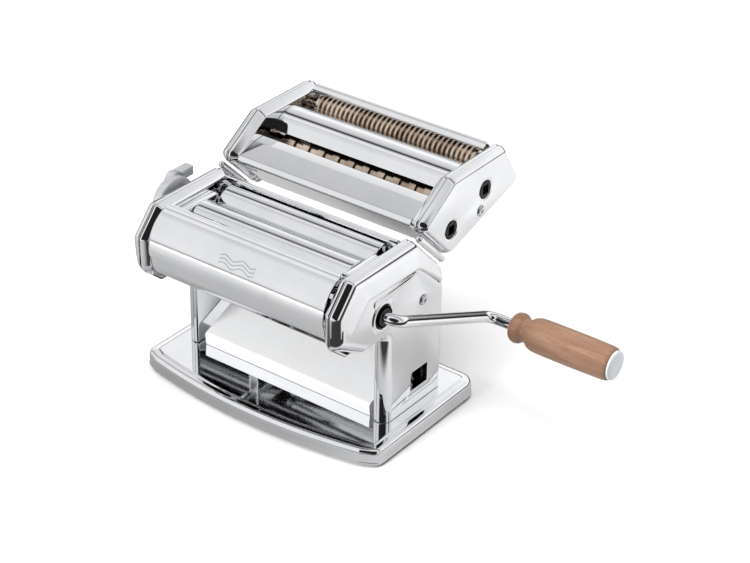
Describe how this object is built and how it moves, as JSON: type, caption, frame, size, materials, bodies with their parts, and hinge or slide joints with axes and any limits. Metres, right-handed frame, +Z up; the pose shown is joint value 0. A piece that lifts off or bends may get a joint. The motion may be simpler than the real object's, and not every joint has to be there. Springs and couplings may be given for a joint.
{
  "type": "pasta roller machine",
  "caption": "Hand-cranked dough roller on a pressed base, with a thickness knob, a bent crank with a wooden grip and a removable two-width noodle cutter.",
  "frame": {"origin": "middle of the bounding box, on the surface that the rubber feet stand on", "axes": "+X towards the crank and its grip, +Y towards the rear where the cutter unit sits, +Z up"},
  "size_m": [0.3152, 0.2054, 0.17],
  "materials": {
    "chrome_sheet": "mirror chrome plate on pressed steel",
    "roller_steel": "fine-ground plated steel",
    "cutter_steel": "turned steel with a warm oiled tint",
    "gear_steel": "cut steel, lightly oiled",
    "spring_steel": "bright zinc-plated steel",
    "bronze": "sintered bronze, oiled",
    "cast_grey": "satin die cast with painted look",
    "beech_wood": "steamed beech with thin lacquer, short brown flecks",
    "cap_grey": "pale blue-grey moulded cap",
    "rubber_feet": "matt black rubber"
  },
  "bodies": {
    "frame": {"base_tray": "chrome_sheet", "rubber_foot_front_left": "rubber_feet", "rubber_foot_front_right": "rubber_feet", "rubber_foot_rear_left": "rubber_feet", "rubber_foot_rear_right": "rubber_feet", "chute_plate": "chrome_sheet", "side_plate_left": "chrome_sheet", "side_plate_right": "chrome_sheet", "side_casing_left": "chrome_sheet", "side_casing_right": "chrome_sheet", "casing_screw_left": "spring_steel", "casing_screw_right": "spring_steel", "cutter_rail_left": "chrome_sheet", "cutter_rail_right": "chrome_sheet", "dough_guide_left": "chrome_sheet", "dough_guide_right": "chrome_sheet", "front_bushing_left": "bronze", "front_bushing_right": "bronze", "front_cover": "chrome_sheet", "rear_cover": "chrome_sheet", "front_scraper": "gear_steel", "rear_scraper": "gear_steel", "front_tie_rod": "spring_steel", "rear_tie_rod": "spring_steel", "drive_bushing": "bronze"},
    "gap_carriage": {"bearing_block_left": "bronze", "bearing_block_right": "bronze"},
    "front_roller": {"front_roller": "roller_steel", "front_transfer_gear": "gear_steel", "front_driven_gear": "gear_steel"},
    "rear_roller": {"rear_roller": "roller_steel", "rear_transfer_gear": "gear_steel"},
    "drive": {"drive_pinion": "gear_steel"},
    "crank": {"crank_rod": "chrome_sheet"},
    "grip": {"wooden_grip": "beech_wood", "grip_end_cap": "cap_grey"},
    "dial": {"dial_spindle": "spring_steel", "knob_spring": "spring_steel"},
    "knob": {"thickness_knob": "cast_grey"},
    "cutter_unit": {"cutter_plate_left": "chrome_sheet", "cutter_plate_right": "chrome_sheet", "cutter_casing_left": "chrome_sheet", "cutter_casing_right": "chrome_sheet", "cutter_screw_left": "spring_steel", "cutter_screw_right": "spring_steel", "cutter_rear_cover": "chrome_sheet", "cutter_deck": "chrome_sheet", "cutter_front_cover": "chrome_sheet", "fine_comb": "gear_steel", "wide_comb": "gear_steel"},
    "fine_driven": {"fine_cutter_driven": "cutter_steel", "fine_gear_driven": "gear_steel", "fine_crank_socket": "gear_steel"},
    "fine_idle": {"fine_cutter_idle": "cutter_steel", "fine_gear_idle": "gear_steel"},
    "wide_driven": {"wide_cutter_driven": "cutter_steel", "wide_gear_driven": "gear_steel", "wide_crank_socket": "gear_steel"},
    "wide_idle": {"wide_cutter_idle": "cutter_steel", "wide_gear_idle": "gear_steel"}
  },
  "joints": [
    {"name": "gap_slide", "type": "slide", "parent": "frame", "child": "gap_carriage", "axis": [0, 1, 0], "range_m": [0, 0.002]},
    {"name": "front_roller_spin", "type": "hinge", "parent": "frame", "child": "front_roller", "pos_m": [-0.052, -0.05522, 0.121], "axis": [1, 0, 0], "continuous": true},
    {"name": "rear_roller_spin", "type": "hinge", "parent": "gap_carriage", "child": "rear_roller", "pos_m": [-0.052, -0.02672, 0.121], "axis": [1, 0, 0], "continuous": true},
    {"name": "drive_spin", "type": "hinge", "parent": "frame", "child": "drive", "pos_m": [0.028, -0.05522, 0.10225], "axis": [1, 0, 0], "continuous": true},
    {"name": "crank_pull", "type": "slide", "parent": "drive", "child": "crank", "axis": [1, 0, 0], "range_m": [0, 0.03]},
    {"name": "grip_spin", "type": "hinge", "parent": "crank", "child": "grip", "pos_m": [0.108, 0.03788, 0.0658], "axis": [1, 0, 0], "continuous": true},
    {"name": "dial_turn", "type": "hinge", "parent": "frame", "child": "dial", "pos_m": [-0.144, -0.05322, 0.1245], "axis": [1, 0, 0], "range_deg": [0, 180]},
    {"name": "knob_pull", "type": "slide", "parent": "dial", "child": "knob", "axis": [-1, 0, 0], "range_m": [0, 0.0025], "stiffness_N_per_m": 600, "springref_m": -0.003, "deforming": ["knob_spring"]},
    {"name": "cutter_lift", "type": "slide", "parent": "frame", "child": "cutter_unit", "axis": [0, -0.7071, 0.7071], "range_m": [0, 0.05]},
    {"name": "fine_driven_spin", "type": "hinge", "parent": "cutter_unit", "child": "fine_driven", "pos_m": [-0.052, 0.05898, 0.147], "axis": [1, 0, 0], "continuous": true},
    {"name": "fine_idle_spin", "type": "hinge", "parent": "cutter_unit", "child": "fine_idle", "pos_m": [-0.052, 0.07777, 0.15384], "axis": [1, 0, 0], "continuous": true},
    {"name": "wide_driven_spin", "type": "hinge", "parent": "cutter_unit", "child": "wide_driven", "pos_m": [-0.052, 0.02008, 0.1329], "axis": [1, 0, 0], "continuous": true},
    {"name": "wide_idle_spin", "type": "hinge", "parent": "cutter_unit", "child": "wide_idle", "pos_m": [-0.052, 0.03887, 0.13974], "axis": [1, 0, 0], "continuous": true}
  ],
  "couplings": [
    {"joint": "rear_roller_spin", "follows": "front_roller_spin", "ratio": -1},
    {"joint": "drive_spin", "follows": "front_roller_spin", "ratio": -1.2727},
    {"joint": "dial_turn", "follows": "gap_slide", "rad_per_m": 1570.6},
    {"joint": "fine_idle_spin", "follows": "fine_driven_spin", "ratio": -1},
    {"joint": "wide_idle_spin", "follows": "wide_driven_spin", "ratio": -1}
  ]
}
